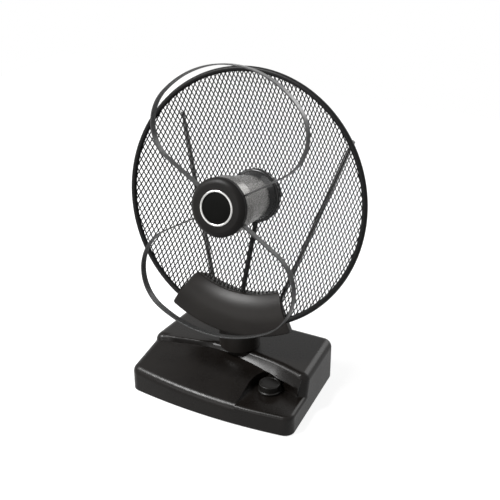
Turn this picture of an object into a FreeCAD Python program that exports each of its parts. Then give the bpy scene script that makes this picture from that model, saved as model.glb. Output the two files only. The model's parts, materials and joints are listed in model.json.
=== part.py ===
import FreeCAD, Part
import math
import os

V = FreeCAD.Vector
os.makedirs("parts", exist_ok=True)

# Clearances, in millimetres
SEAT = 0.05         # between pieces that are put together and stay
RUN = 0.08          # between a shaft and its hole
GAP = 0.3           # between pieces that move past each other

# Base
FOOT_H = 1.2        # how far the feet stand below the bottom cover
FOOT_R = 6.0
BASE_FRONT_HALF = 88.0
BASE_REAR_HALF = 80.0
BASE_DEPTH = 116.8  # front corners to rear wall
FRONT_BOW = 6.8     # the front wall bulges this much at its middle
SOCKET_OUT = 8.0    # the aerial socket stands this far out of the rear wall
DECK_Z = 42.8
WALL = 2.4
CORNER_R = 10.0
DECK_EDGE_R = 8.0    # rounding of the deck's, the panel's and the ledge's edges
PANEL_EDGE_R = 8.0
LEDGE_EDGE_R = 4.0
CREST_Y = -5.1      # middle of the step between deck and front panel
CREST_R = 238.0
CREST_SLOPE = 0.3
PANEL_FRONT_Z = 23.0
PANEL_RISE = 0.27
PANEL_TILT = 0.035
LEDGE_Z = 21.4
POCKET_X = 31.0     # left wall of the knob's ledge
POCKET_BACK = -8.0
POCKET_R = 26.0     # that wall curves round behind the knob
COVER_T = 2.4

# Gain control on the ledge
KNOB_X = 49.4
KNOB_Y = -25.6
KNOB_R = 11.6
KNOB_H = 8.2
KNOB_ROOM = 1.2     # between the knob and the hollow behind it
FLUTES = 24
FLUTE_R = 0.75
POT_R = 8.0
POT_H = 6.6
SHAFT_R = 3.0
BUSH_R = 3.6

# Swivel between neck and deck
NECK_Y = 6.5
NECK_R = 20.2
SPIGOT_R = 8.0
BEARING_H = 11.0
WASHER_T = 1.5
RING_T = 1.0

# Reflector: the rim lies in a plane that leans back
RIM_FOOT_Y = -12.1  # the rim's lowest point
RIM_FOOT_Z = 77.66
LEAN = 12.76
RIM_R = 120.0
RIM_WIRE_R = 2.6
BOWL_R = RIM_R - 4  # the mesh is flat outside this and inside the hub's seat
BOWL_DEPTH = 28.0
MESH_T = 1.0
SEAT_R = 30.0
CELL_W = 19.0
CELL_H = 37.0
STRAND = 3.4

# Head, a sector of a ring around the reflector's axis
HEAD_IN_R = RIM_R - 27.4
HEAD_OUT_R = RIM_R + 12
HEAD_HALF = 29.0    # degrees to each side
HEAD_DRAW = 28.0    # how steeply its ends draw in behind the plate
HEAD_BACK = -20.0
HEAD_WALL = 2.2
OUTER_SCREWS = (RIM_R + 6.5, 15.0, 1.6)    # radius, degrees to each side, where the screw ends
INNER_SCREWS = (RIM_R - 18, 19.0, -2.6)

# Hub, with its places along the reflector's axis
FLANGE_R = 26.0
FLANGE_TOP = -13.0
SLEEVE_REAR_R = 21.4
SLEEVE_FRONT_R = 26.2
BAND_R = 27.0
BAND_FROM = 31.0
BOARD_TOP = 37.0
BOARD_T = 1.6
STRIP_W = 7.4
STRIP_T = 1.2
COLLAR_R = 27.2
COLLAR_FRONT = 52.2
CHROME_R = 16.6
CHROME_IN_R = 14.3
CAP_R = 20.0
CAP_BACK = -46.0

# Loops: straight legs, round shoulders and a wide arch, bent by hand and so a little different
LEG_START = 14.0
UPPER_LOOP = {"half": 77.0, "top": 125.2, "leg": 31.2, "shoulder_r": 39.5, "turn": 1.8}
LOWER_LOOP = {"half": 78.1, "top": 121.4, "leg": 30.3, "shoulder_r": 42.3, "turn": 0.7}

# Feed cable
CABLE_R = 2.4
CABLE_OUT = (-30.0, -33.0)  # a point of the free run behind the mesh
CABLE_IN = (23.0 - RIM_R, -20.0)  # where the free run enters the head
BOOT_R = 3.2
BOOT_LEN = 9.0

# Telescopic rods, pushed in
ROD_X = 33.0
ROD_V = 10.0 - RIM_R
ROD_W = -30.0
ROD_SPREAD = 17.7
STEM_WALL = 0.5
EYE_R = 4.8
PIVOT_R = 1.5
TUBE_R = [2.3, 1.9, 1.5]
TUBE_T = 0.35
ROD_R = 1.1
TUBE_LEN = 168.0
TUBE_FROM = 7.0
SHOW = 2.0          # each section shows this much above the one around it
TIP_LEN = 7.0

DISH_Y = RIM_FOOT_Y + RIM_R * math.sin(math.radians(LEAN))
DISH_Z = RIM_FOOT_Z + RIM_R * math.cos(math.radians(LEAN))
EYE_T = 2 * (TUBE_R[0] + STEM_WALL + 0.1)
FRONT_Y = FRONT_BOW - (BASE_DEPTH + FRONT_BOW + SOCKET_OUT) / 2
REAR_Y = FRONT_Y + BASE_DEPTH
COVER_TOP = FOOT_H + COVER_T
STRIP_FRONT = BOARD_TOP + STRIP_W
Z = V(0, 0, 1)
ORIGIN = V(0, 0, 0)


def save(shape, name):
    shape.removeSplitter().exportStep("parts/" + name + ".step")


def cylinder(r, z0, z1, x=0.0, y=0.0):
    return Part.makeCylinder(r, z1 - z0, V(x, y, z0))


def tube(r_out, r_in, z0, z1, x=0.0, y=0.0):
    return cylinder(r_out, z0, z1, x, y).cut(cylinder(r_in, z0, z1, x, y))


def block(x0, x1, y0, y1, z0, z1):
    return Part.makeBox(x1 - x0, y1 - y0, z1 - z0, V(x0, y0, z0))


def revolved(start, *steps, angle=360.0):
    """Turn a profile of (radius, height) about Z; a step with two points is an arc through the first."""
    edges = []
    here = V(0, -start[0], start[1])
    for step in steps + (start,):
        if isinstance(step[0], tuple):
            middle = V(0, -step[0][0], step[0][1])
            there = V(0, -step[1][0], step[1][1])
            edges.append(Part.Arc(here, middle, there).toShape())
        else:
            there = V(0, -step[0], step[1])
            edges.append(Part.makeLine(here, there))
        here = there
    face = Part.Face(Part.Wire(edges))
    face.rotate(ORIGIN, Z, -angle / 2)
    return face.revolve(ORIGIN, Z, angle)


def upright_edges(shape):
    return [e for e in shape.Edges if abs(e.tangentAt(e.FirstParameter).z) > 0.95]


def on_dish(shape):
    """Carry a shape from the reflector's own frame, with Z along its axis, to the object."""
    seat = FreeCAD.Placement(V(0, DISH_Y, DISH_Z), FreeCAD.Rotation(V(1, 0, 0), 90 - LEAN))
    placed = shape.copy()
    placed.Placement = seat.multiply(placed.Placement)
    return placed


def dish_point(v, w):
    lean = math.radians(LEAN)
    y = DISH_Y + v * math.sin(lean) - w * math.cos(lean)
    z = DISH_Z + v * math.cos(lean) + w * math.sin(lean)
    return V(0, y, z)


def mirrored(shape):
    return shape.mirror(ORIGIN, V(1, 0, 0))


def polar(r, degrees):
    """A point at this radius, at an angle from straight down."""
    turn = math.radians(degrees)
    return r * math.sin(turn), -r * math.cos(turn)


# Base housing: a bowed and tapered box, cut away in front of the crest
def base_block(inset, z0, z1):
    x_front = BASE_FRONT_HALF - inset
    x_rear = BASE_REAR_HALF - inset
    y_front = FRONT_Y + inset
    y_rear = REAR_Y - inset
    left_front = V(-x_front, y_front, z0)
    right_front = V(x_front, y_front, z0)
    right_rear = V(x_rear, y_rear, z0)
    left_rear = V(-x_rear, y_rear, z0)
    front = Part.Arc(left_front, V(0, y_front - FRONT_BOW, z0), right_front).toShape()
    right = Part.makeLine(right_front, right_rear)
    rear = Part.makeLine(right_rear, left_rear)
    left = Part.makeLine(left_rear, left_front)
    body = Part.Face(Part.Wire([front, right, rear, left])).extrude(V(0, 0, z1 - z0))
    return body.makeFillet(CORNER_R - inset, upright_edges(body))


def base_form(inset):
    """The base as three forms: deck behind the crest, sloped panel and low ledge in front of it."""
    deck_r = DECK_EDGE_R - inset
    panel_r = PANEL_EDGE_R - inset
    ledge_r = LEDGE_EDGE_R - inset
    top = 2 * DECK_Z
    radius_top = CREST_R + CREST_SLOPE * (top - DECK_Z) + inset
    radius_low = CREST_R - CREST_SLOPE * DECK_Z + inset
    ahead = Part.makeCone(radius_low, radius_top, top, V(0, CREST_Y - CREST_R, 0))
    above_panel = block(-200, 200, -200, 200, 0, 100)
    turn = FreeCAD.Rotation(Z, V(PANEL_TILT, -PANEL_RISE, 1))
    above_panel.Placement = FreeCAD.Placement(V(0, FRONT_Y, PANEL_FRONT_Z - inset), turn)
    deck = base_block(inset, FOOT_H, DECK_Z - inset).cut(ahead)
    panel = base_block(inset, FOOT_H, top).cut(above_panel)
    ledge = base_block(inset, FOOT_H, LEDGE_Z - inset)
    crest = [e for e in deck.Edges if e.BoundBox.ZMin > FOOT_H + 1 or type(e.Curve).__name__ == "Hyperbola"]
    deck = deck.makeFillet(deck_r, crest)
    panel = panel.makeFillet(panel_r, [e for e in panel.Edges if e.BoundBox.ZMin > FOOT_H + 1])
    ledge = ledge.makeFillet(ledge_r, [e for e in ledge.Edges if e.BoundBox.ZMin > FOOT_H + 1])
    reach = 1.7 * deck_r
    under_crest = Part.makeCone(radius_low + reach, radius_top + reach, top, V(0, CREST_Y - CREST_R, 0))
    split = POCKET_X - inset
    pocket = block(split, 200, -200, POCKET_BACK + inset, 0, 200)
    turned = [e for e in upright_edges(pocket) if e.BoundBox.XMax < split + 1 and e.BoundBox.YMin > -100]
    pocket = pocket.makeFillet(POCKET_R + inset, turned)
    panel = panel.common(under_crest).cut(pocket)
    ledge = ledge.cut(block(-200, split, -200, 200, 0, 200))
    hollow = cylinder(KNOB_R + KNOB_ROOM + inset, LEDGE_Z - inset, top, KNOB_X, KNOB_Y)
    return deck.fuse([panel, ledge]).cut(hollow)


outer = base_form(0)
housing = outer.cut(base_form(WALL))

post_places = []
foot_places = []
for side in (-1, 1):
    post_places.append((side * (BASE_FRONT_HALF - 17.5), FRONT_Y + 19))
    post_places.append((side * (BASE_REAR_HALF - 14), REAR_Y - 14))
    foot_places.append((side * (BASE_FRONT_HALF - 20.5), FRONT_Y + 9))
    foot_places.append((side * (BASE_REAR_HALF - 16), REAR_Y - 24))
for x, y in post_places:
    post = cylinder(4.0, COVER_TOP, DECK_Z, x, y).common(outer)
    housing = housing.fuse(post).cut(cylinder(1.25 + SEAT, 0, COVER_TOP + 10, x, y))
bearing = cylinder(SPIGOT_R + 3.2, DECK_Z - BEARING_H, DECK_Z - WALL / 2, 0, NECK_Y).common(outer)
housing = housing.fuse(bearing).cut(cylinder(SPIGOT_R + RUN, 0, DECK_Z + 1, 0, NECK_Y))
housing = housing.cut(cylinder(BUSH_R + SEAT, 0, LEDGE_Z + 1, KNOB_X, KNOB_Y))

# Bottom cover with feet, screws and the ballast plate that keeps the base down
cover = base_block(WALL + 2 * SEAT, FOOT_H, COVER_TOP)
feet = []
for x, y in foot_places:
    recess = cylinder(FOOT_R + SEAT, FOOT_H, FOOT_H + 1.0, x, y)
    cover = cover.cut(recess)
    foot = cylinder(FOOT_R, 0, FOOT_H + 1.0, x, y)
    feet.append(foot.makeChamfer(0.5, [e for e in foot.Edges if e.BoundBox.ZMax < 0.01]))
cover_screws = []
for x, y in post_places:
    cover = cover.cut(cylinder(1.6, 0, COVER_TOP + 1, x, y))
    cover = cover.cut(cylinder(2.8, 0, FOOT_H + 1.2, x, y))
    shank = cylinder(1.25, FOOT_H + 1.2, COVER_TOP + 9, x, y)
    cover_screws.append(shank.fuse(cylinder(2.6, FOOT_H + 0.1, FOOT_H + 1.2, x, y)))
BOARD_LEFT = -SPIGOT_R - 13.5
ballast = block(4 - BASE_REAR_HALF, BOARD_LEFT - 8, FRONT_Y + 27, REAR_Y - 22, COVER_TOP, COVER_TOP + 8.0)
ballast = ballast.makeFillet(4.0, upright_edges(ballast))

# Amplifier board on posts of the cover, with its shield, control and sockets
BOARD_RIGHT = KNOB_X + POT_R + 1.5
BOARD_FRONT = KNOB_Y - POT_R - 4
BOARD_REAR = REAR_Y - WALL - 0.5
BOARD_Z = LEDGE_Z - WALL - POT_H - BOARD_T
board = block(BOARD_LEFT, BOARD_RIGHT, BOARD_FRONT, BOARD_REAR, BOARD_Z, BOARD_Z + BOARD_T)
board_posts = [(BOARD_LEFT + 5, BOARD_FRONT + 6), (KNOB_X - POT_R - 6, BOARD_FRONT + 6),
               (BOARD_LEFT + 5, BOARD_REAR - 22), (BOARD_RIGHT - 6, BOARD_REAR - 22)]
for x, y in board_posts:
    cover = cover.fuse(cylinder(3.0, COVER_TOP, BOARD_Z, x, y))
    cover = cover.fuse(cylinder(1.4, BOARD_Z, BOARD_Z + BOARD_T + 1.0, x, y))
    board = board.cut(cylinder(1.4 + SEAT, 0, DECK_Z, x, y))
board_face = BOARD_Z + BOARD_T
SHIELD_L = KNOB_X - POT_R - 29
SHIELD_R = KNOB_X - POT_R + 1
SHIELD_T = 0.6
shield = block(SHIELD_L, SHIELD_R, BOARD_REAR - 39, BOARD_REAR - 9, board_face, board_face + 11)
shield = shield.makeFillet(1.5, upright_edges(shield))
shield = shield.cut(block(SHIELD_L + SHIELD_T, SHIELD_R - SHIELD_T, BOARD_REAR - 39 + SHIELD_T,
                          BOARD_REAR - 9 - SHIELD_T, board_face, board_face + 11 - SHIELD_T))

pot = cylinder(POT_R, board_face, LEDGE_Z - WALL, KNOB_X, KNOB_Y)
pot = pot.fuse(cylinder(BUSH_R, board_face, LEDGE_Z + 3.4, KNOB_X, KNOB_Y))
pot = pot.cut(cylinder(SHAFT_R + RUN, board_face + 1, DECK_Z, KNOB_X, KNOB_Y))
nut = Part.Face(Part.makePolygon([V(5.4 * math.cos(math.radians(a)), 5.4 * math.sin(math.radians(a)), 0)
                                  for a in range(0, 361, 60)])).extrude(V(0, 0, 2.2))
nut.translate(V(KNOB_X, KNOB_Y, LEDGE_Z))
nut = nut.cut(cylinder(BUSH_R + SEAT, 0, DECK_Z, KNOB_X, KNOB_Y))
shaft = cylinder(SHAFT_R, board_face + 1 + GAP, LEDGE_Z + KNOB_H - 1.0, KNOB_X, KNOB_Y)

# Knob: a skirted disc with flutes round its side, hollow over the nut
knob_low = LEDGE_Z + GAP + 0.2
knob_top = knob_low + KNOB_H
knob = revolved((0, knob_low), (KNOB_R, knob_low), (KNOB_R, knob_low + 1.4), (KNOB_R - 0.9, knob_low + 2.0),
                (KNOB_R - 1.2, knob_top - 1.0), ((KNOB_R - 1.5, knob_top - 0.3), (KNOB_R - 2.2, knob_top)),
                (KNOB_R - 3.4, knob_top), (KNOB_R - 4.0, knob_top - 0.6), (0, knob_top - 0.6))
groove = cylinder(FLUTE_R, knob_low + 2.0, knob_top + 1, 0, -KNOB_R)
grooves = []
for i in range(FLUTES):
    one = groove.copy()
    one.rotate(ORIGIN, Z, 360.0 * i / FLUTES)
    grooves.append(one)
knob = knob.cut(Part.makeCompound(grooves))
knob = knob.cut(cylinder(6.6, 0, LEDGE_Z + 4.0))
knob = knob.cut(cylinder(SHAFT_R + SEAT, 0, LEDGE_Z + KNOB_H - 1.0))
pointer = block(-0.6, 0.6, KNOB_R - 5.6, KNOB_R - 2.2, knob_top - 0.5, knob_top + 1)
knob = knob.cut(pointer)
knob.translate(V(KNOB_X, KNOB_Y, 0))

# Aerial socket and power inlet through the rear wall
SOCKET_X = BOARD_LEFT + 16
SOCKET_Z = board_face + 7.0
SOCKET_R = 4.7
Y = V(0, 1, 0)


def along_y(r, y0, y1, x, z):
    return Part.makeCylinder(r, y1 - y0, V(x, y0, z), Y)


SHOULDER_OUT = 0.8
housing = housing.cut(along_y(SOCKET_R + 1 + SEAT, REAR_Y - 5, REAR_Y + 1, SOCKET_X, SOCKET_Z))
socket_back = REAR_Y - WALL - 8
socket = along_y(SOCKET_R, socket_back, REAR_Y + SOCKET_OUT, SOCKET_X, SOCKET_Z)
socket = socket.fuse(along_y(SOCKET_R + 1, socket_back, REAR_Y + SHOULDER_OUT, SOCKET_X, SOCKET_Z))
socket = socket.fuse(block(SOCKET_X - 6, SOCKET_X + 6, socket_back, REAR_Y - WALL - SEAT, board_face, SOCKET_Z + 6))
socket = socket.cut(along_y(SOCKET_R - 0.7, REAR_Y - 4, REAR_Y + SOCKET_OUT + 1, SOCKET_X, SOCKET_Z))
socket = socket.fuse(along_y(1.2, REAR_Y - 5, REAR_Y + SOCKET_OUT - 1, SOCKET_X, SOCKET_Z))
INLET_X = BOARD_RIGHT - 6
inlet_z = board_face + 5.5
inlet = block(INLET_X - 4.5, INLET_X + 4.5, REAR_Y - WALL - 12, REAR_Y - WALL - SEAT, board_face, board_face + 11)
inlet = inlet.fuse(along_y(4.0, REAR_Y - WALL - 1, REAR_Y - 0.4, INLET_X, inlet_z))
inlet = inlet.cut(along_y(2.8, REAR_Y - 10, REAR_Y + 1, INLET_X, inlet_z))
inlet = inlet.fuse(along_y(1.0, REAR_Y - 11, REAR_Y - 1.5, INLET_X, inlet_z))
housing = housing.cut(along_y(4.0 + SEAT, REAR_Y - 5, REAR_Y + 1, INLET_X, inlet_z))

# Reflector mesh: a shallow bowl with a flat seat for the hub and a flat lip held in the rim
def bowl_height(r):
    return BOWL_DEPTH * ((r * r - SEAT_R ** 2) / (BOWL_R ** 2 - SEAT_R ** 2) - 1)


def bowl_arc(offset):
    middle = (BOWL_R + SEAT_R) / 2
    return (middle, bowl_height(middle) + offset), (BOWL_R, offset)


def bowl_wall(half, r_in, r_out):
    back = bowl_arc(-half)
    front = bowl_arc(half)
    low = -BOWL_DEPTH - half
    high = -BOWL_DEPTH + half
    return revolved((r_in, low), (SEAT_R, low), back, (r_out, -half), (r_out, half), (BOWL_R, half),
                    (front[0], (SEAT_R, high)), (r_in, high))


def behind_mesh():
    return revolved((0, -150), (200, -150), (200, 0), (BOWL_R, 0),
                    (bowl_arc(0)[0], (SEAT_R, -BOWL_DEPTH)), (0, -BOWL_DEPTH))


LIP_R = RIM_R - 0.6
MESH_HOLE_R = 5.0
mesh = bowl_wall(MESH_T / 2, MESH_HOLE_R, LIP_R)
cells = []
open_ring = tube(BOWL_R - 2, SEAT_R - 3, -60, 60)
open_ring = open_ring.cut(revolved((HEAD_IN_R - 2, -60), (150, -60), (150, 60), (HEAD_IN_R - 2, 60),
                                   angle=2 * HEAD_HALF + 5))
half_w = CELL_W / 2 - STRAND / 2
half_h = CELL_H / 2 - STRAND
columns = int(2 * BOWL_R / CELL_W) + 1
rows = int(2 * BOWL_R / CELL_H) + 1
for i in range(-columns, columns + 1):
    for j in range(-rows, rows + 1):
        if (i + j) % 2:
            continue
        u = i * CELL_W / 2
        v = j * CELL_H / 2
        ring = [V(u - half_w, v, -60), V(u, v - half_h, -60), V(u + half_w, v, -60), V(u, v + half_h, -60)]
        cell = Part.Face(Part.makePolygon(ring + ring[:1])).extrude(V(0, 0, 120))
        part = cell.common(open_ring)
        if part.Volume > 0.3 * cell.Volume:
            cells.append(part)
mesh = mesh.cut(Part.makeCompound(cells))
rim = Part.makeTorus(RIM_R, RIM_WIRE_R).cut(tube(LIP_R + SEAT, RIM_R - 6, -MESH_T / 2 - SEAT, MESH_T / 2 + SEAT))

# Head: a domed front cover and a rear half that grip rim and mesh between them
def head_body(inset):
    r_in = HEAD_IN_R + inset
    r_out = HEAD_OUT_R - inset
    back = HEAD_BACK + inset
    half = HEAD_HALF - math.degrees(math.atan(inset / HEAD_IN_R))
    return revolved((r_in, back), (r_in, -6.0 - inset), ((RIM_R - 6, 3.6 - inset), (r_out, 2.4 - inset)),
                    (r_out, back), angle=2 * half)


def slanted_ends(inset):
    """What the head's ends lose behind the plate, where they draw in towards the neck."""
    ends = []
    for side in (-1, 1):
        end = block(0, 100, -300, 0, -100, 0)
        end.rotate(ORIGIN, V(0, 1, 0), HEAD_DRAW)
        end.translate(V(-inset / math.cos(math.radians(HEAD_DRAW)), 0, -3.0))
        if side < 0:
            end = end.mirror(ORIGIN, V(1, 0, 0))
        end.rotate(ORIGIN, Z, side * HEAD_HALF)
        ends.append(end)
    return Part.makeCompound(ends)


def head_solid():
    body = head_body(0)
    body = body.makeFillet(2.5, upright_edges(body))
    front_edges = [e for e in body.Edges if e.BoundBox.ZMin > -7.5]
    return body.makeFillet(1.2, front_edges).cut(slanted_ends(0))


def neck_body(inset):
    post = cylinder(NECK_R - inset, DECK_Z + GAP + 1.4 * inset, RIM_FOOT_Z + 14.3, 0, NECK_Y)
    slant = block(-60, 60, -60, 60, 0, 120)
    slant.rotate(ORIGIN, V(1, 0, 0), -50)
    slant.translate(V(0, NECK_Y + NECK_R, RIM_FOOT_Z - 1.7 - 1.5 * inset))
    return post.cut(slant)


envelope = head_solid()
hollow = head_body(HEAD_WALL).cut(slanted_ends(HEAD_WALL))
rear_side = behind_mesh()
grip = bowl_wall(MESH_T / 2 + SEAT, MESH_HOLE_R, LIP_R).fuse(Part.makeTorus(RIM_R, RIM_WIRE_R + SEAT))
posts = []
screw_holes = []
head_screws = []
for r, turn, end, side in [(*OUTER_SCREWS, 1), (*OUTER_SCREWS, -1), (*INNER_SCREWS, 1), (*INNER_SCREWS, -1)]:
    x, y = polar(r, side * turn)
    posts.append(cylinder(3.4, HEAD_BACK + 1, 3.0, x, y))
    screw_holes.append(cylinder(1.25 + SEAT, HEAD_BACK - 1, end, x, y))
    screw_holes.append(cylinder(2.7, HEAD_BACK - 1, HEAD_BACK + 2.2, x, y))
    shank = cylinder(1.25, HEAD_BACK + 2.2, end - 0.2, x, y)
    head_screws.append(shank.fuse(cylinder(2.6, HEAD_BACK + 0.4, HEAD_BACK + 2.2, x, y)))
    mesh = mesh.cut(cylinder(1.5, -60, 60, x, y))
shell = envelope.cut(hollow).fuse(Part.makeCompound(posts).common(envelope))
shell = shell.cut(Part.makeCompound(screw_holes))
front_cover = shell.cut(rear_side).cut(grip)
rear_half = shell.common(rear_side).cut(grip)

# The neck is moulded with the rear half; its spigot turns in the deck
rear_space = on_dish(hollow.common(rear_side))
neck = neck_body(0).common(on_dish(rear_side)).cut(on_dish(grip))
rear_half = on_dish(rear_half).fuse(neck).cut(neck_body(HEAD_WALL)).cut(rear_space.common(neck_body(0)))
posts_kept = on_dish(Part.makeCompound(posts).common(envelope).common(rear_side))
rear_half = rear_half.fuse(posts_kept).cut(on_dish(Part.makeCompound(screw_holes))).cut(on_dish(grip))
spigot_low = DECK_Z - BEARING_H - GAP - WASHER_T - RING_T - 1.6
groove_top = DECK_Z - BEARING_H - GAP - WASHER_T
spigot = cylinder(SPIGOT_R, spigot_low, DECK_Z + GAP + 2, 0, NECK_Y)
spigot = spigot.cut(tube(SPIGOT_R + 1, SPIGOT_R - 1.0 - SEAT, groove_top - RING_T - SEAT, groove_top, 0, NECK_Y))
rear_half = rear_half.fuse(spigot)
rear_half = rear_half.cut(cylinder(CABLE_R + 2.0, 0, DECK_Z + 12, 0, NECK_Y))
washer = tube(SPIGOT_R + 3.8, SPIGOT_R + SEAT, groove_top, groove_top + WASHER_T, 0, NECK_Y)
snap_ring = tube(SPIGOT_R + 2.4, SPIGOT_R - 1.0, groove_top - RING_T, groove_top, 0, NECK_Y)
snap_ring = snap_ring.cut(block(-2, 2, NECK_Y - 20, NECK_Y, 0, DECK_Z))

# Hub: back cap behind the mesh, flange in front, then sleeve, board, collar and ring
mesh_back = -BOWL_DEPTH - MESH_T / 2
mesh_front = -BOWL_DEPTH + MESH_T / 2
flange = revolved((4.0, mesh_front), (FLANGE_R, mesh_front), (FLANGE_R, mesh_front + 3.2),
                  ((FLANGE_R - 0.6, mesh_front + 4.6), (FLANGE_R - 2.0, mesh_front + 5.2)),
                  (SLEEVE_REAR_R, FLANGE_TOP), (SLEEVE_REAR_R - 2.0, FLANGE_TOP),
                  (SLEEVE_REAR_R - 2.0, FLANGE_TOP + 4), (4.0, FLANGE_TOP + 4))
cap = revolved((0, CAP_BACK), (CAP_R - 5, CAP_BACK), ((CAP_R - 1.2, CAP_BACK + 1.4), (CAP_R, CAP_BACK + 5)),
               (CAP_R, mesh_back), (0, mesh_back))
cap = cap.cut(cylinder(8.5, CAP_BACK + 2.2, mesh_back + 1))
hub_screws = []
for turn in (60, 180, 300):
    x, y = polar(14.0, turn)
    flange = flange.cut(cylinder(1.25 + SEAT, -60, FLANGE_TOP - 3, x, y))
    cap = cap.cut(cylinder(1.5, -60, 0, x, y)).cut(cylinder(2.7, -60, CAP_BACK + 4, x, y))
    mesh = mesh.cut(cylinder(1.5, -60, 0, x, y))
    shank = cylinder(1.25, CAP_BACK + 4, FLANGE_TOP - 4, x, y)
    hub_screws.append(shank.fuse(cylinder(2.6, CAP_BACK + 2, CAP_BACK + 4, x, y)))
sleeve = revolved((SLEEVE_REAR_R - 2.0 + SEAT, FLANGE_TOP), (SLEEVE_REAR_R, FLANGE_TOP),
                  (SLEEVE_FRONT_R, BAND_FROM), (BAND_R, BAND_FROM + 0.6), (BAND_R, STRIP_FRONT),
                  (BAND_R - 2.0, STRIP_FRONT), (BAND_R - 2.0, BOARD_TOP - BOARD_T),
                  (BAND_R - 3.6, BOARD_TOP - BOARD_T), (BAND_R - 3.6, BAND_FROM))
hub_board = tube(BAND_R - 2.0 - SEAT, 2.5, BOARD_TOP - BOARD_T, BOARD_TOP)
collar = revolved((CHROME_R - 4, STRIP_FRONT), (COLLAR_R, STRIP_FRONT), (COLLAR_R, STRIP_FRONT + 4.2),
                  ((COLLAR_R - 1.7, COLLAR_FRONT - 1.7), (COLLAR_R - 5.4, COLLAR_FRONT)),
                  (CHROME_R + SEAT, COLLAR_FRONT), (CHROME_R + SEAT, COLLAR_FRONT - 1.8),
                  (CHROME_R - 4, COLLAR_FRONT - 1.8))
collar = collar.fuse(tube(BAND_R - 2.0 - SEAT, BAND_R - 4.2, STRIP_FRONT - 2.4, STRIP_FRONT))
chrome = revolved((CHROME_IN_R, COLLAR_FRONT - 1.8), (CHROME_R, COLLAR_FRONT - 1.8), (CHROME_R, COLLAR_FRONT),
                  (((CHROME_R + CHROME_IN_R) / 2, COLLAR_FRONT + 0.9), (CHROME_IN_R, COLLAR_FRONT)))
disc = revolved((0, COLLAR_FRONT - 1.8), (CHROME_IN_R - SEAT, COLLAR_FRONT - 1.8),
                (CHROME_IN_R - SEAT, COLLAR_FRONT - 0.6), ((9.0, COLLAR_FRONT + 0.1), (4.0, COLLAR_FRONT + 0.3)),
                (0, COLLAR_FRONT + 0.3))

# Loops: one strip each, bent on edge, with both legs on the hub's board
def flip(p):
    return V(-p.x, p.y, p.z)


def loop_strip(half, top, leg, shoulder_r, turn):
    slope = math.radians(leg)
    leg_len = (half - shoulder_r * (1 - math.sin(slope))) / math.cos(slope)
    inside = V(LEG_START * math.cos(slope), LEG_START * math.sin(slope), 0)
    bend = V(leg_len * math.cos(slope), leg_len * math.sin(slope), 0)
    shoulder = bend + V(-math.sin(slope), math.cos(slope), 0) * shoulder_r
    rise = top - shoulder_r
    arch_y = (shoulder.x ** 2 + shoulder.y ** 2 - rise ** 2) / (2 * (shoulder.y - rise))
    arch = V(0, arch_y, 0)
    meet_dir = (shoulder - arch).normalize()
    meet = arch + meet_dir * (top - arch_y)
    mid_angle = (slope - math.pi / 2 + math.atan2(meet_dir.y, meet_dir.x)) / 2
    shoulder_mid = shoulder + V(math.cos(mid_angle), math.sin(mid_angle), 0) * shoulder_r
    path = Part.Wire([
        Part.makeLine(inside, bend),
        Part.Arc(bend, shoulder_mid, meet).toShape(),
        Part.Arc(meet, V(0, top, 0), flip(meet)).toShape(),
        Part.Arc(flip(meet), flip(shoulder_mid), flip(bend)).toShape(),
        Part.makeLine(flip(bend), flip(inside)),
    ])
    across = V(-math.sin(slope), math.cos(slope), 0) * (STRIP_T / 2)
    section = [inside - across, inside + across, inside + across + Z * STRIP_W, inside - across + Z * STRIP_W]
    strip = path.makePipeShell([Part.makePolygon(section + section[:1])], True, True)
    strip.translate(V(0, 0, BOARD_TOP))
    strip.rotate(ORIGIN, Z, turn)
    return strip


upper_loop = loop_strip(**UPPER_LOOP)
lower_loop = loop_strip(**LOWER_LOOP)
lower_loop.rotate(ORIGIN, Z, 180)
upper_leg = UPPER_LOOP["leg"]
lower_leg = LOWER_LOOP["leg"]
upper_turn = UPPER_LOOP["turn"]
lower_turn = LOWER_LOOP["turn"] + 180
for turn in (upper_turn + upper_leg, upper_turn + 180 - upper_leg, lower_turn + lower_leg, lower_turn + 180 - lower_leg):
    slot = block(LEG_START - 2, BAND_R + 2, -STRIP_T / 2 - SEAT, STRIP_T / 2 + SEAT, BOARD_TOP, STRIP_FRONT)
    slot.rotate(ORIGIN, Z, turn)
    sleeve = sleeve.cut(slot)
    collar = collar.cut(slot)

# Feed cable: from the hub's board along its axis, down behind the mesh and through the neck
hub_end = dish_point(0, BOARD_TOP - BOARD_T)
slope = (CABLE_IN[1] - CABLE_OUT[1]) / (CABLE_IN[0] - CABLE_OUT[0])
turn_back = dish_point(0, CABLE_OUT[1] - slope * CABLE_OUT[0])
run_a = dish_point(*CABLE_OUT)
run_b = dish_point(*CABLE_IN)
along = (run_b.y - NECK_Y) / (run_a.y - run_b.y)
turn_down = run_b + (run_b - run_a) * along
low_end = V(0, NECK_Y, board_face + GAP)


def rounded_path(points, radii):
    edges = []
    here = points[0]
    for i, radius in enumerate(radii):
        corner = points[i + 1]
        to_back = (points[i] - corner).normalize()
        to_next = (points[i + 2] - corner).normalize()
        half = math.acos(to_back.dot(to_next)) / 2
        first = corner + to_back * (radius / math.tan(half))
        last = corner + to_next * (radius / math.tan(half))
        inward = (to_back + to_next).normalize()
        middle = corner + inward * (radius / math.sin(half) - radius)
        edges.append(Part.makeLine(here, first))
        edges.append(Part.Arc(first, middle, last).toShape())
        here = last
    edges.append(Part.makeLine(here, points[-1]))
    return Part.Wire(edges)


cable_path = rounded_path([hub_end, turn_back, turn_down, low_end], [6.0, 30.0])


def cord_along(wire, radius):
    start = wire.Edges[0].valueAt(wire.Edges[0].FirstParameter)
    heading = wire.Edges[0].tangentAt(wire.Edges[0].FirstParameter)
    ring = Part.Wire(Part.makeCircle(radius, start, heading))
    return wire.makePipeShell([ring], True, True)


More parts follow.
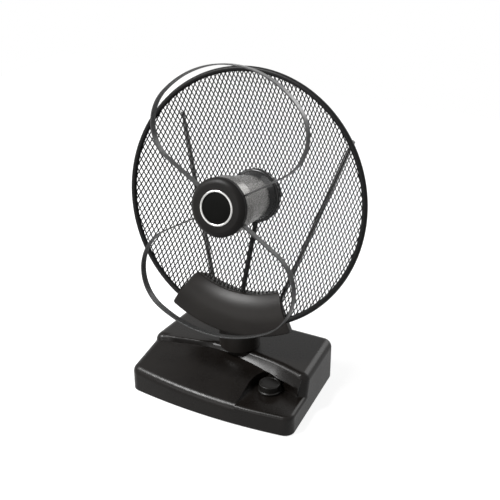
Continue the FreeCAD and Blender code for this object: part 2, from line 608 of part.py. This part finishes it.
cable = cord_along(cable_path, CABLE_R)
cable_room = cord_along(cable_path, CABLE_R + SEAT)
run_dir = (run_b - run_a).normalize()
boot_from = turn_back + run_dir * (CAP_R - 3.0)
boot = Part.makeCylinder(BOOT_R, BOOT_LEN + 3.0, boot_from, run_dir)
boot_room = Part.makeCylinder(BOOT_R + SEAT, BOOT_LEN + 3.0, boot_from, run_dir)
boot = boot.cut(cable_room)
cap = on_dish(cap).cut(boot_room).cut(cable_room)
rear_half = rear_half.cut(cord_along(cable_path, CABLE_R + 0.4))
flange = on_dish(flange).cut(cable_room)
hub_board = on_dish(hub_board)

# Rods: a foot with an eye on a pivot screw, and tubes that slide in each other
def rod_frame(shape):
    """Carry a rod built along Z, with its pivot at the origin along Y, to the right of the head."""
    placed = shape.copy()
    placed.rotate(ORIGIN, V(1, 0, 0), -90)
    placed.rotate(ORIGIN, Z, -ROD_SPREAD)
    placed.translate(V(ROD_X, ROD_V, ROD_W))
    return on_dish(placed)


eye = Part.makeCylinder(EYE_R, EYE_T, V(0, -EYE_T / 2, 0), Y)
stem = cylinder(TUBE_R[0] + STEM_WALL, 2.0, TUBE_FROM + 4.0)
foot_piece = eye.fuse(stem).cut(Part.makeCylinder(PIVOT_R + SEAT, 20, V(0, -10, 0), Y))
foot_piece = foot_piece.cut(cylinder(TUBE_R[0] + SEAT, TUBE_FROM, TUBE_FROM + 10))
sections = []
low = TUBE_FROM
high = TUBE_FROM + TUBE_LEN
for radius in TUBE_R:
    sections.append(tube(radius, radius - TUBE_T, low, high))
    low += 3.0
    high += SHOW
inner_rod = cylinder(ROD_R, low, high + 1)
tip = cylinder(TUBE_R[0], high - SHOW + GAP, high - SHOW + TIP_LEN)
tip = tip.makeFillet(1.0, [e for e in tip.Edges if e.BoundBox.ZMin > high - SHOW + GAP + 1 and e.BoundBox.ZLength < 0.1])
inner_rod = inner_rod.fuse(tip)

head_side = EYE_T / 2 + GAP
pivot_screw = cylinder(PIVOT_R, ROD_W - head_side, HEAD_BACK - 0.5)
pivot_screw = pivot_screw.fuse(cylinder(3.4, ROD_W - head_side - 1.8, ROD_W - head_side))
pivot_screw.translate(V(ROD_X, ROD_V, 0))
boss = cylinder(6.5, ROD_W + head_side, HEAD_BACK + 1.0, ROD_X, ROD_V)
boss = boss.cut(cylinder(PIVOT_R + SEAT, ROD_W, HEAD_BACK, ROD_X, ROD_V))
right_boss = on_dish(boss)
rear_half = rear_half.fuse(right_boss).fuse(mirrored(right_boss))
screw_room = on_dish(cylinder(PIVOT_R + SEAT, ROD_W, HEAD_BACK - 0.4, ROD_X, ROD_V))
rear_half = rear_half.cut(screw_room).cut(mirrored(screw_room))

save(housing, "base_top_housing")
save(cover, "base_bottom_cover")
save(Part.makeCompound(feet), "rubber_feet")
save(Part.makeCompound(cover_screws), "cover_screws")
save(ballast, "ballast_plate")
save(board, "amplifier_board")
save(shield, "shield_can")
save(pot, "gain_potentiometer")
save(nut, "potentiometer_nut")
save(shaft, "potentiometer_shaft")
save(knob, "gain_knob")
save(socket, "aerial_socket")
save(inlet, "power_inlet")
save(rear_half, "head_rear_housing")
save(washer, "swivel_washer")
save(snap_ring, "swivel_retaining_ring")
save(on_dish(front_cover), "head_front_cover")
save(on_dish(Part.makeCompound(head_screws)), "head_screws")
save(on_dish(rim), "reflector_rim")
save(on_dish(mesh), "reflector_mesh")
save(cap, "hub_back_cap")
save(flange, "hub_flange")
save(on_dish(Part.makeCompound(hub_screws)), "hub_screws")
save(on_dish(sleeve), "hub_sleeve")
save(hub_board, "hub_board")
save(on_dish(collar), "hub_collar")
save(on_dish(chrome), "hub_chrome_ring")
save(on_dish(disc), "hub_front_disc")
save(on_dish(upper_loop), "upper_loop")
save(on_dish(lower_loop), "lower_loop")
save(cable, "feed_cable")
save(boot, "cable_boot")
for side in ("right", "left"):
    pieces = {
        "rod_foot": rod_frame(foot_piece),
        "rod_outer_tube": rod_frame(sections[0]),
        "rod_middle_tube": rod_frame(sections[1]),
        "rod_upper_tube": rod_frame(sections[2]),
        "rod_tip_section": rod_frame(inner_rod),
        "rod_pivot_screw": on_dish(pivot_screw),
    }
    for name, shape in pieces.items():
        save(mirrored(shape) if side == "left" else shape, side + "_" + name)
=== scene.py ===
import json
import math

import bmesh
import bpy
from mathutils import Matrix, Vector


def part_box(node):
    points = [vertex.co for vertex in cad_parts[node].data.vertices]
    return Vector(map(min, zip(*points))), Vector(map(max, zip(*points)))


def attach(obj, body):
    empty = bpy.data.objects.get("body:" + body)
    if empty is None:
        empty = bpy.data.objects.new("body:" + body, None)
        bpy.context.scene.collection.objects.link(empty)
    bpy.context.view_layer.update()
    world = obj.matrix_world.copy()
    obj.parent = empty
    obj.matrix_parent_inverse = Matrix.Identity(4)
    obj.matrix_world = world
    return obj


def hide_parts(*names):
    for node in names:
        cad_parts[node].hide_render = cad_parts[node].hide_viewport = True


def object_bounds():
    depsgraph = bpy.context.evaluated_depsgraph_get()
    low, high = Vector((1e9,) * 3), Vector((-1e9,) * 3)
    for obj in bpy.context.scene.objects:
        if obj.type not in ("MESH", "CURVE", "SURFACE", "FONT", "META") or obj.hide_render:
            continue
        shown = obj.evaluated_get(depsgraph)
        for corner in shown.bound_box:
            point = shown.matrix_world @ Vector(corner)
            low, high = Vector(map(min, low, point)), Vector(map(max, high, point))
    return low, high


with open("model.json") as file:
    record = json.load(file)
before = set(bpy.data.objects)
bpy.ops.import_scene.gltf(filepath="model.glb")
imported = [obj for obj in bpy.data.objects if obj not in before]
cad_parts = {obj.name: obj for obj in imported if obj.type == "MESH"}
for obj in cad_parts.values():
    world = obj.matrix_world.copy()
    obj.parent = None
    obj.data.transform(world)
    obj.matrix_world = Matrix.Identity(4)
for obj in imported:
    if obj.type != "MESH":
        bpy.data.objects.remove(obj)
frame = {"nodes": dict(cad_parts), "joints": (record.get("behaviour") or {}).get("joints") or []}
cad_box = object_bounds()

# Base housing: one moulding in brown-black plastic with a fine satin grain,
# its top stepped down along a curved crest to a sloped panel and the knob's ledge.
# It stands on the bottom cover, and four screws from below hold the two together.


class Wire:
    """One socket of a material, with the arithmetic that its patterns need."""

    def __init__(self, tree, socket=None):
        self.tree = tree
        self.socket = socket

    def add(self, kind, settings=None, sockets=None, output=0):
        """A new node: its settings first, then the values or links of its sockets."""
        node = self.tree.nodes.new(kind)
        for name, value in (settings or {}).items():
            if name == "stops":
                for element, (place, tone) in zip(node.color_ramp.elements, value):
                    element.position = place
                    element.color = (*tone, 1.0)
            else:
                setattr(node, name, value)
        for name, value in (sockets or {}).items():
            if isinstance(value, Wire):
                self.tree.links.new(value.socket, node.inputs[name])
            else:
                node.inputs[name].default_value = value
        return Wire(self.tree, node.outputs[output])

    def feeds(self, socket):
        self.tree.links.new(self.socket, socket)

    def maths(self, operation, first, second):
        return self.add("ShaderNodeMath", {"operation": operation}, {0: first, 1: second})

    def __add__(self, other):
        return self.maths("ADD", self, other)

    def __mul__(self, other):
        return self.maths("MULTIPLY", self, other)

    __radd__ = __add__
    __rmul__ = __mul__


def new_finish(name):
    """A blank material, its shader and the wire of places on the piece."""
    material = bpy.data.materials.new(name)
    material.use_nodes = True
    tree = material.node_tree
    place = Wire(tree).add("ShaderNodeTexCoord", output="Object")
    return material, tree.nodes["Principled BSDF"], place


def noise(place, per_metre, detail=2.0):
    return place.add("ShaderNodeTexNoise", None, {"Vector": place, "Scale": per_metre, "Detail": detail})


def tint(shader, pattern, low, dark, high, light):
    """Colour a shader from dark to light as a pattern goes from low to high."""
    tones = pattern.add("ShaderNodeValToRGB", {"stops": [(low, dark), (high, light)]}, {0: pattern})
    tones.feeds(shader.inputs["Base Color"])


def moulded(name, dark, light, roughness, specular, grain):
    """Moulded plastic: a faint cloud in its colour, uneven gloss and a fine spark-eroded grain."""
    material, shader, place = new_finish(name)
    cloud = noise(place, 45.0, 4.0)
    fine = noise(place, 2600.0)
    tint(shader, cloud, 0.3, dark, 0.7, light)
    (cloud * 0.10 + (roughness - 0.05) + fine * 0.04).feeds(shader.inputs["Roughness"])
    shader.inputs["Specular IOR Level"].default_value = specular
    bump = fine.add("ShaderNodeBump", None, {"Strength": grain, "Distance": 0.0001, "Height": fine}, "Normal")
    bump.feeds(shader.inputs["Normal"])
    return material


crease = math.radians(33)


def mark_creases(shape):
    """Edges that turn less than a crease shade smoothly."""
    for line in shape.edges:
        line.smooth = line.calc_face_angle(math.pi) < crease


def finished(node, body, material, edge=0.0):
    """A copy of a solid with its facets joined, so that round faces shade smoothly and edges catch light."""
    shape = bmesh.new()
    shape.from_mesh(frame["nodes"][node].data)
    bmesh.ops.remove_doubles(shape, verts=shape.verts, dist=2e-6)
    if edge:
        bmesh.ops.dissolve_limit(shape, angle_limit=math.radians(0.4), verts=shape.verts, edges=shape.edges)
    for face in shape.faces:
        face.smooth = True
    mark_creases(shape)
    mesh = bpy.data.meshes.new(node + "_finished")
    shape.to_mesh(mesh)
    shape.free()
    piece = bpy.data.objects.new(node + "_finished", mesh)
    bpy.context.scene.collection.objects.link(piece)
    mesh.materials.append(material)
    if edge:
        bevel = piece.modifiers.new("edges", "BEVEL")
        bevel.width = edge
        bevel.segments = 2
        bevel.limit_method = "ANGLE"
        bevel.angle_limit = crease
        bevel.harden_normals = True
    else:
        evened = piece.modifiers.new("shading", "WEIGHTED_NORMAL")
        evened.keep_sharp = True
        evened.weight = 60
    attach(piece, body)
    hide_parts(node)
    return piece


base_plastic = moulded("base_plastic", (0.0042, 0.0033, 0.0027), (0.0062, 0.0050, 0.0042), 0.26, 0.19, 0.16)
housing = finished("base_top_housing", "base", base_plastic)
housing_shape = bmesh.new()
housing_shape.from_mesh(housing.data)

# The lip between the panel and the ledge has a small rounding.
lip_round = 0.0008
ledge_lip = []
for line in housing_shape.edges:
    place = (line.verts[0].co + line.verts[1].co) / 2
    beside_ledge = 0.0309 < place.x < 0.048 and place.y < -0.009 and (place.x < 0.0312 or place.z > 0.022)
    if beside_ledge and place.z > 0.0175 and line.is_convex and line.calc_face_angle(0.0) > crease:
        ledge_lip.append(line)
bmesh.ops.bevel(
    housing_shape,
    geom=ledge_lip,
    offset=lip_round,
    segments=3,
    profile=0.5,
    affect="EDGES",
    clamp_overlap=True,
)

# The step's curve is round a centre ahead of the base. Sections of the step are given by
# the distance from that centre and the height, and a turn sets them along the curve.
curve_centre_y = -0.2431
curve_radius = 0.238
step_lean = 0.3
deck_height = 0.0428
deck_round = 0.008
round_centre = Vector((0.24395, deck_height - deck_round))
panel_rise = 0.27
panel_tilt = 0.035
panel_drop = 0.02652
row_count = 60


def within(share, start, span):
    """How far a share has come through a span, from 0 to 1."""
    return min(1.0, max(0.0, (share - start) / span))


def eased(share):
    """The same share with a soft start and end."""
    return share * share * (3.0 - 2.0 * share)


def panel_slope(turn):
    """How fast the panel climbs away from the curve's centre."""
    return panel_rise * math.cos(turn) - panel_tilt * math.sin(turn)


def on_round(angle, radius=deck_round):
    """A place on the rounding of the deck's edge, or under it with a smaller radius."""
    return round_centre + Vector((-math.sin(angle), math.cos(angle))) * radius


def add_row(section, turn):
    return [
        housing_shape.verts.new((at.x * math.sin(turn), at.x * math.cos(turn) + curve_centre_y, at.y))
        for at in section
    ]


def join_rows(rows):
    """Close rows of corners to one solid strip."""
    for before, after in zip(rows, rows[1:]):
        for one in range(len(before)):
            two = (one + 1) % len(before)
            housing_shape.faces.new((before[one], before[two], after[two], after[one])).smooth = True
    housing_shape.faces.new(rows[0][::-1])
    housing_shape.faces.new(rows[-1])


# To the right the step's face flares forward: a slightly hollow band that leaves the deck's
# rounding, runs down to the panel and above the ledge, and steepens into the wall at its end.
band_hollow = 0.0002
band_reach = 0.0097
sunk = 0.0008
ledge_foot = 0.0212
rows = []
for step in range(row_count + 1):
    share = step / row_count
    turn = math.radians(-9.0 + 28.6 * share)
    closing = within(share, 0.70, 0.30)
    slant = math.radians(70.0 - 25.0 * eased(within(share, 0.0, 0.43)) + 17.0 * eased(closing))
    down = Vector((-math.cos(slant), -math.sin(slant)))
    inward = Vector((math.sin(slant), -math.cos(slant)))
    top = on_round(slant)
    slope = panel_slope(turn)
    to_panel = (top.y + panel_drop + 0.0003 - top.x * slope) / (math.sin(slant) - math.cos(slant) * slope)
    reach = min(to_panel, band_reach + 0.0050 * closing)
    brim = top + down * reach
    low = brim.y - 0.0002 - 0.0022 * within(share, 0.60, 0.06)
    low += (ledge_foot - low) * within(share, 0.84, 0.05)
    section = [
        top,
        top + down * reach * 0.33 + inward * band_hollow,
        top + down * reach * 0.67 + inward * band_hollow,
        brim,
        Vector((curve_radius - step_lean * (deck_height - low) + sunk, low)),
        top + inward * sunk,
    ]
    rows.append(add_row(section, turn))
join_rows(rows)

# To the left the step has a tight edge and an upright face. Both grow out of the deck's
# rounding: angles round it and depths under it, in degrees and millimetres.
under_round = [(-8, 0.3), (8, 0.3), (20, 0.3), (32, 0.3), (45, 0.3), (72, 0.3), (72, 1.2), (10, 1.4)]
tight_edge = [(0.2450, 0.04283), (0.2385, 0.04283), (0.2372, 0.04262), (0.2365, 0.0420), (0.2362, 0.0412)]
upright = 0.2358
rows = []
for step in range(row_count + 1):
    share = step / row_count
    turn = math.radians(-18.2 + 13.7 * share)
    grown = eased(min(within(share, 0.0, 0.22), within(1.0 - share, 0.0, 0.35)))
    foot = upright * panel_slope(turn) - panel_drop - 0.00028
    full = tight_edge + [(upright, foot), (0.2385, foot - 0.0002), (0.2435, 0.0415)]
    section = [
        on_round(math.radians(angle), deck_round - depth / 1000).lerp(Vector(corner), grown)
        for (angle, depth), corner in zip(under_round, full)
    ]
    rows.append(add_row(section, turn))
join_rows(rows)

housing_shape.normal_update()
mark_creases(housing_shape)
housing_shape.to_mesh(housing.data)
housing_shape.free()

# Bottom cover, rubber feet and screws: a flat black lid inside the housing's skirt,
# four turned rubber pads stuck in its recesses, and zinc-plated screws up into the posts.


def metal(name, dark, light, roughness, streak):
    """Plated or plain metal: slight tone changes and fine marks drawn out along one direction."""
    material, shader, place = new_finish(name)
    drawn = place.add("ShaderNodeMapping", None, {"Vector": place, "Scale": streak})
    marks = noise(drawn, 900.0, 3.0)
    tint(shader, marks, 0.25, dark, 0.75, light)
    (marks * 0.12 + (roughness - 0.06)).feeds(shader.inputs["Roughness"])
    shader.inputs["Metallic"].default_value = 1.0
    return material


def rubbery(name, dark, light, roughness):
    """Soft rubber or cable sheath: nearly matt, with a dusty bloom."""
    material, shader, place = new_finish(name)
    bloom = noise(place, 160.0, 5.0)
    tint(shader, bloom, 0.3, dark, 0.75, light)
    (bloom * 0.15 + (roughness - 0.07)).feeds(shader.inputs["Roughness"])
    shader.inputs["Specular IOR Level"].default_value = 0.25
    return material


def coat(node, material):
    """Give a solid that keeps its own mesh its finish."""
    piece = frame["nodes"][node]
    piece.data.materials.clear()
    piece.data.materials.append(material)


cover_plastic = moulded("cover_plastic", (0.010, 0.010, 0.009), (0.016, 0.015, 0.014), 0.55, 0.3, 0.3)
finished("base_bottom_cover", "base", cover_plastic)
foot_rubber = rubbery("foot_rubber", (0.014, 0.014, 0.014), (0.024, 0.024, 0.023), 0.75)
finished("rubber_feet", "base", foot_rubber, 0.0003)
screw_steel = metal("screw_steel", (0.40, 0.40, 0.40), (0.58, 0.58, 0.57), 0.34, (1.0, 1.0, 1.0))
finished("cover_screws", "base", screw_steel, 0.0002)

# Inside the base: a pressed steel ballast plate, the amplifier's green board with its
# tinned shield can, and the control whose bush is nutted into the ledge.

ballast_steel = metal("ballast_steel", (0.28, 0.27, 0.26), (0.40, 0.39, 0.38), 0.45, (1.0, 8.0, 1.0))
coat("ballast_plate", ballast_steel)


def lacquered(name, dark, light, roughness):
    """Lacquered glass-fibre board: its weave shows as small even changes of tone."""
    material, shader, place = new_finish(name)
    weave = place.add("ShaderNodeTexChecker", None, {"Vector": place, "Scale": 900.0}, "Fac")
    tone = weave * 0.25 + noise(place, 120.0) * 0.75
    tint(shader, tone, 0.2, dark, 0.8, light)
    (tone * 0.1 + roughness).feeds(shader.inputs["Roughness"])
    return material


board = lacquered("board", (0.030, 0.12, 0.045), (0.055, 0.18, 0.075), 0.28)
coat("amplifier_board", board)
tinned_steel = metal("tinned_steel", (0.52, 0.52, 0.50), (0.66, 0.66, 0.64), 0.30, (1.0, 1.0, 1.0))
coat("shield_can", tinned_steel)
coat("gain_potentiometer", tinned_steel)
coat("potentiometer_nut", screw_steel)

# Sockets at the back: a nickel-plated push-on aerial socket and a black power inlet,
# both soldered to the board and reaching out through round holes in the rear wall.

socket_nickel = metal("socket_nickel", (0.60, 0.58, 0.54), (0.74, 0.72, 0.68), 0.20, (1.0, 6.0, 1.0))
finished("aerial_socket", "base", socket_nickel, 0.0002)
finished("power_inlet", "base", cover_plastic, 0.0002)

# Gain knob: a fluted, skirted cap in black plastic, moulded in one
# and pushed tight on the control's plated shaft, so that it turns with it.

knob_plastic = moulded("knob_plastic", (0.0055, 0.0050, 0.0045), (0.0085, 0.0078, 0.0070), 0.30, 0.20, 0.12)
finished("gain_knob", "knob", knob_plastic, 0.00015)
tube_chrome = metal("tube_chrome", (0.13, 0.13, 0.13), (0.20, 0.20, 0.20), 0.22, (1.0, 1.0, 0.06))
coat("potentiometer_shaft", tube_chrome)

# Head: two mouldings that grip the reflector's lower edge, screwed together from behind.
# The rear one carries the neck, whose spigot turns in the deck on a slippery washer
# and is kept by a spring ring.

head_plastic = moulded("head_plastic", (0.0062, 0.0049, 0.0040), (0.0092, 0.0076, 0.0064), 0.34, 0.19, 0.14)
finished("head_rear_housing", "head", head_plastic)
finished("head_front_cover", "head", head_plastic)
finished("head_screws", "head", screw_steel, 0.0002)
white_plastic = moulded("white_plastic", (0.66, 0.66, 0.63), (0.76, 0.76, 0.73), 0.40, 0.5, 0.1)
coat("swivel_washer", white_plastic)
coat("swivel_retaining_ring", screw_steel)

# Reflector: a shallow bowl of black-coated expanded metal, slit and drawn into small
# diamonds, with its edge closed in a round steel rim.

rim_low, rim_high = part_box("reflector_rim")
rim_centre = (rim_low + rim_high) / 2
facing = Vector(next(j["axis"] for j in frame["joints"] if j["name"] == "right_rod_swing")).normalized()
sideways = Vector((1.0, 0.0, 0.0))
upward = facing.cross(sideways)
dish = Matrix((
    (sideways.x, upward.x, facing.x, rim_centre.x),
    (sideways.y, upward.y, facing.y, rim_centre.y),
    (sideways.z, upward.z, facing.z, rim_centre.z),
    (0.0, 0.0, 0.0, 1.0),
))
half_diamond = Vector((0.00209, 0.00407))
lattice_turn = math.radians(3.0)
strand = 0.00119
bowl_edge = 0.116
bowl_seat = 0.030
bowl_depth = 0.028
lip_radius = 0.1190
hub_hole = 0.016


def coated(name, dark, light, roughness, specular):
    """Stove-baked coating on metal: orange-peel bumps and small changes of tone and gloss."""
    material, shader, place = new_finish(name)
    peel = noise(place, 700.0, 3.0)
    tint(shader, peel, 0.3, dark, 0.7, light)
    (peel * 0.14 + (roughness - 0.07)).feeds(shader.inputs["Roughness"])
    shader.inputs["Specular IOR Level"].default_value = specular
    bump = peel.add("ShaderNodeBump", None, {"Strength": 0.12, "Distance": 0.0001, "Height": peel}, "Normal")
    bump.feeds(shader.inputs["Normal"])
    return material


black_coat = coated("black_coat", (0.0025, 0.0025, 0.0025), (0.0055, 0.0055, 0.0055), 0.40, 0.14)
finished("reflector_rim", "head", black_coat)

lattice = bmesh.new()
cells = 2 * int(lip_radius / half_diamond.x / 1.28)
bmesh.ops.create_grid(lattice, x_segments=cells, y_segments=cells, size=cells / 2)
drawn_out = Matrix((
    (half_diamond.x, half_diamond.x, 0.0, 0.0),
    (half_diamond.y, -half_diamond.y, 0.0, 0.0),
    (0.0, 0.0, 1.0, 0.0),
    (0.0, 0.0, 0.0, 1.0),
))
bmesh.ops.transform(lattice, matrix=Matrix.Rotation(lattice_turn, 4, "Z") @ drawn_out, verts=lattice.verts)
past_lip = lip_radius + half_diamond.x / 2
spare = [f for f in lattice.faces if not hub_hole < f.calc_center_median().length < past_lip]
bmesh.ops.delete(lattice, geom=spare, context="FACES")
for knot in lattice.verts:
    reach = knot.co.length
    if reach > lip_radius:
        knot.co *= lip_radius / reach
    inside = min(max(reach, bowl_seat), bowl_edge)
    knot.co.z = bowl_depth * ((inside ** 2 - bowl_seat ** 2) / (bowl_edge ** 2 - bowl_seat ** 2) - 1)
bmesh.ops.wireframe(
    lattice, faces=lattice.faces, thickness=strand, use_replace=True, use_boundary=True, use_even_offset=True
)
bmesh.ops.transform(lattice, matrix=dish, verts=lattice.verts)
bmesh.ops.recalc_face_normals(lattice, faces=lattice.faces)
expanded = bpy.data.meshes.new("expanded_metal")
lattice.to_mesh(expanded)
lattice.free()
expanded.materials.append(black_coat)
reflector = bpy.data.objects.new("expanded_metal", expanded)
bpy.context.scene.collection.objects.link(reflector)
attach(reflector, "head")
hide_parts("reflector_mesh")

# Hub: a black cap and flange clamp the mesh between them with three screws. On the flange
# stand a silver-grey sleeve, the loops' board, a charcoal collar, a chrome ring and a black disc.

hub_black = moulded("hub_black", (0.004, 0.004, 0.004), (0.007, 0.007, 0.007), 0.16, 0.40, 0.04)
finished("hub_back_cap", "head", hub_black)
finished("hub_flange", "head", hub_black)
finished("hub_screws", "head", screw_steel, 0.0002)
sleeve_grey = metal("sleeve_grey", (0.25, 0.245, 0.235), (0.32, 0.315, 0.305), 0.26, (1.0, 1.0, 1.0))
finished("hub_sleeve", "head", sleeve_grey, 0.0002)
coat("hub_board", board)
collar_plastic = moulded(
    "collar_plastic", (0.0062, 0.0056, 0.0052), (0.0085, 0.0078, 0.0073), 0.36, 0.11, 0.15
)
finished("hub_collar", "head", collar_plastic)
ring_chrome = metal("ring_chrome", (0.46, 0.455, 0.44), (0.56, 0.555, 0.54), 0.16, (1.0, 1.0, 1.0))
finished("hub_chrome_ring", "head", ring_chrome)
disc_black = moulded("disc_black", (0.0018, 0.0018, 0.0016), (0.0030, 0.0030, 0.0026), 0.5, 0.05, 0.1)
finished("hub_front_disc", "head", disc_black)

# Loops: one dark coated metal strip each, bent on edge to a rounded fan,
# with both legs soldered to the hub's board.

loop_strip = coated("loop_strip", (0.012, 0.012, 0.012), (0.020, 0.020, 0.020), 0.30, 0.52)
finished("upper_loop", "head", loop_strip, 0.0002)
finished("lower_loop", "head", loop_strip, 0.0002)

# Feed cable: black coaxial cable from the hub's board down behind the mesh and into the neck,
# with a soft boot where it leaves the cap.

cable_rubber = rubbery("cable_rubber", (0.009, 0.009, 0.009), (0.015, 0.015, 0.015), 0.48)
finished("feed_cable", "head", cable_rubber)
finished("cable_boot", "head", cable_rubber, 0.0003)

# Telescopic rods: dark chromed brass tubes that slide in each other, with a capped tip,
# each in a plated foot that swings on a screw behind the head.

foot_brass = metal("foot_brass", (0.20, 0.195, 0.19), (0.30, 0.29, 0.28), 0.26, (1.0, 1.0, 1.0))
for side in ("right", "left"):
    rod = side + "_rod"
    finished(rod + "_foot", rod, foot_brass, 0.0002)
    finished(rod + "_outer_tube", rod, tube_chrome)
    finished(rod + "_middle_tube", rod + "_middle", tube_chrome)
    finished(rod + "_upper_tube", rod + "_upper", tube_chrome)
    finished(rod + "_tip_section", rod + "_tip", tube_chrome)
    finished(rod + "_pivot_screw", "head", screw_steel, 0.0002)

# Studio: a pale floor that keeps a soft shadow, white all around, a key lamp from the
# upper left of the camera, weaker ones from the front and the left, and one from behind.

floor_half = 0.9
floor_mesh = bmesh.new()
bmesh.ops.create_grid(floor_mesh, x_segments=1, y_segments=1, size=floor_half)
floor_data = bpy.data.meshes.new("floor")
floor_mesh.to_mesh(floor_data)
floor_mesh.free()
floor = bpy.data.objects.new("floor", floor_data)
bpy.context.scene.collection.objects.link(floor)
floor_paper, floor_shader, floor_place = new_finish("floor_paper")
grain = noise(floor_place, 30.0)
tint(floor_shader, grain, 0.3, (0.40, 0.40, 0.40), 0.7, (0.42, 0.42, 0.42))
floor_shader.inputs["Roughness"].default_value = 0.9
floor_shader.inputs["Specular IOR Level"].default_value = 0.0
ray = floor_place.add("ShaderNodeLightPath", output="Is Camera Ray")
glossy = floor_place.add("ShaderNodeLightPath", output="Is Glossy Ray")
lift = ray * 0.78 + glossy * 0.40
glow = lift.add("ShaderNodeCombineColor", None, {0: lift, 1: lift, 2: lift})
glow.feeds(floor_shader.inputs["Emission Color"])
floor_shader.inputs["Emission Strength"].default_value = 1.0
floor_data.materials.append(floor_paper)

world = bpy.data.worlds.new("studio")
bpy.context.scene.world = world
world.use_nodes = True
backdrop = world.node_tree.nodes["Background"]
sky = Wire(world.node_tree)
seen = sky.add("ShaderNodeLightPath", output="Is Camera Ray")
mirrored = sky.add("ShaderNodeLightPath", output="Is Glossy Ray")
through = sky.add("ShaderNodeLightPath", output="Is Transmission Ray")
shown = seen.maths("MINIMUM", seen + mirrored + through, 1.0)
(shown * 0.75 + 0.25).feeds(backdrop.inputs["Strength"])
backdrop.inputs["Color"].default_value = (1.0, 1.0, 1.0, 1.0)


def lamp(name, place, aim, size, power):
    data = bpy.data.lights.new(name, "AREA")
    data.shape = "RECTANGLE"
    data.size, data.size_y = size
    data.energy = power
    light = bpy.data.objects.new(name, data)
    bpy.context.scene.collection.objects.link(light)
    light.location = place
    light.rotation_mode = "QUATERNION"
    light.rotation_quaternion = (Vector(aim) - Vector(place)).to_track_quat("-Z", "Y")


middle = (cad_box[0] + cad_box[1]) / 2
lamp("key_lamp", (-0.54, -0.59, 1.20), middle, (0.40, 0.40), 22.0)
lamp("front_lamp", (-0.36, -1.14, 0.42), middle, (0.80, 0.50), 2.6)
lamp("left_lamp", (-0.82, -0.46, 0.78), middle, (0.40, 0.40), 4.0)
lamp("back_lamp", (0.46, 1.06, 0.76), middle, (0.95, 0.75), 7.5)

# Camera: ahead of the antenna, to its right and above it,
# at the viewing angle and distance of the photograph.

lens = bpy.data.cameras.new("camera")
lens.sensor_width = 36.0
lens.lens = 70.29
lens.clip_start = 0.01
camera = bpy.data.objects.new("camera", lens)
bpy.context.scene.collection.objects.link(camera)
camera.matrix_world = Matrix((
    (0.8882, -0.2081, 0.4096, 0.3875),
    (0.4594, 0.4024, -0.7918, -0.7205),
    (0.0, 0.8915, 0.4531, 0.5642),
    (0.0, 0.0, 0.0, 1.0),
))
bpy.context.scene.camera = camera
bpy.context.scene.view_settings.view_transform = "Standard"
